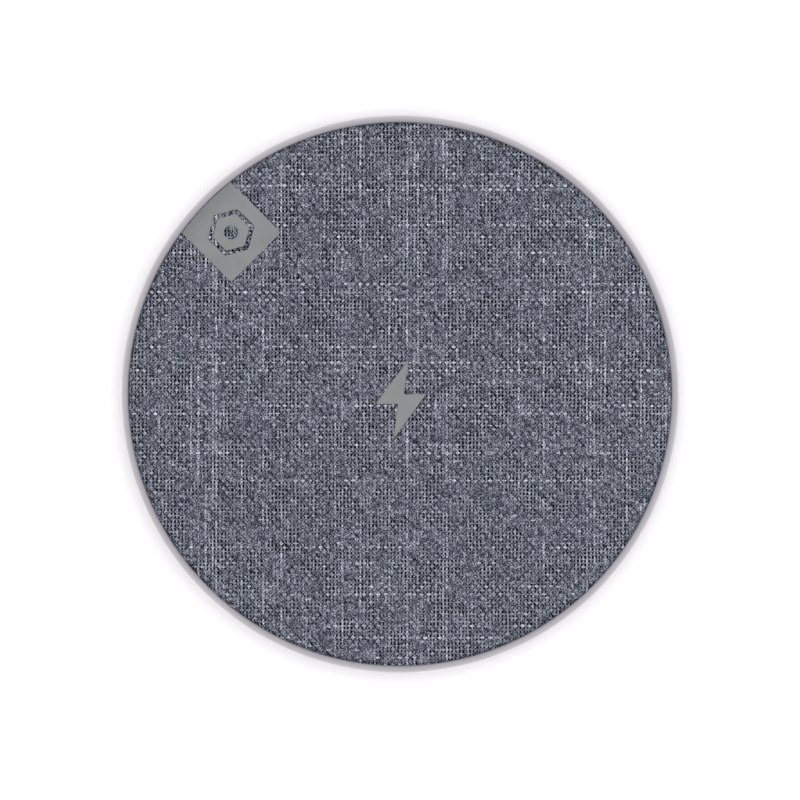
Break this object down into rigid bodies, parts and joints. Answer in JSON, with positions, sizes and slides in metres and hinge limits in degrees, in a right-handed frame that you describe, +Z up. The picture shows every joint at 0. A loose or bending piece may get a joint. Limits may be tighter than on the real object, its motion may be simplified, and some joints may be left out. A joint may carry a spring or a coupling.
{
  "type": "wireless charging pad",
  "caption": "Round cloth-topped wireless charging pad in an aluminium ring, with a power receptacle at the back and a status light at the front.",
  "frame": {"origin": "centre of the underside, level with the lowest face of the foot ring", "axes": "+Z up out of the cloth, +Y towards the power receptacle at the back, -Y towards the status light, label tab between -X and +Y"},
  "size_m": [0.12, 0.12, 0.0106],
  "materials": {
    "ring_aluminium": "satin",
    "cloth": "matte",
    "label": "satin",
    "adhesive": "matte",
    "housing_plastic": "matte",
    "silicone": "matte",
    "screw_steel": "satin",
    "port_steel": "satin",
    "port_plastic": "matte",
    "window": "gloss",
    "led": "satin",
    "board": "satin",
    "chip": "matte",
    "capacitor_ceramic": "satin",
    "capacitor_film": "gloss",
    "ferrite": "matte",
    "copper": "satin",
    "tape": "gloss",
    "foam": "matte",
    "wire": "satin"
  },
  "bodies": {
    "root": {"housing_ring": "ring_aluminium", "fabric_cover": "cloth", "label_tab": "label", "charge_mark": "label", "fabric_adhesive": "adhesive", "top_plate": "housing_plastic", "base_cover": "housing_plastic", "foot_ring": "silicone", "screw_1": "screw_steel", "screw_2": "screw_steel", "screw_3": "screw_steel", "screw_4": "screw_steel", "circuit_board": "board", "port_shell": "port_steel", "port_tongue": "port_plastic", "light_guide": "window", "led_chip": "led", "controller_chip": "chip", "crystal": "port_steel", "input_capacitor_1": "capacitor_ceramic", "input_capacitor_2": "capacitor_ceramic", "sense_resistor": "chip", "power_inductor": "ferrite", "driver_chip": "chip", "mosfet_1": "chip", "mosfet_2": "chip", "mosfet_3": "chip", "mosfet_4": "chip", "resonant_capacitor_1": "capacitor_film", "resonant_capacitor_2": "capacitor_film", "resonant_capacitor_3": "capacitor_film", "resonant_capacitor_4": "capacitor_film", "coil_winding": "copper", "coil_lead_inner": "copper", "coil_lead_outer": "copper", "ferrite_plate": "ferrite", "coil_tape": "tape", "foam_spacer": "foam", "thermistor": "chip", "thermistor_lead_1": "wire", "thermistor_lead_2": "wire", "thermistor_plug": "wire"}
  },
  "joints": []
}
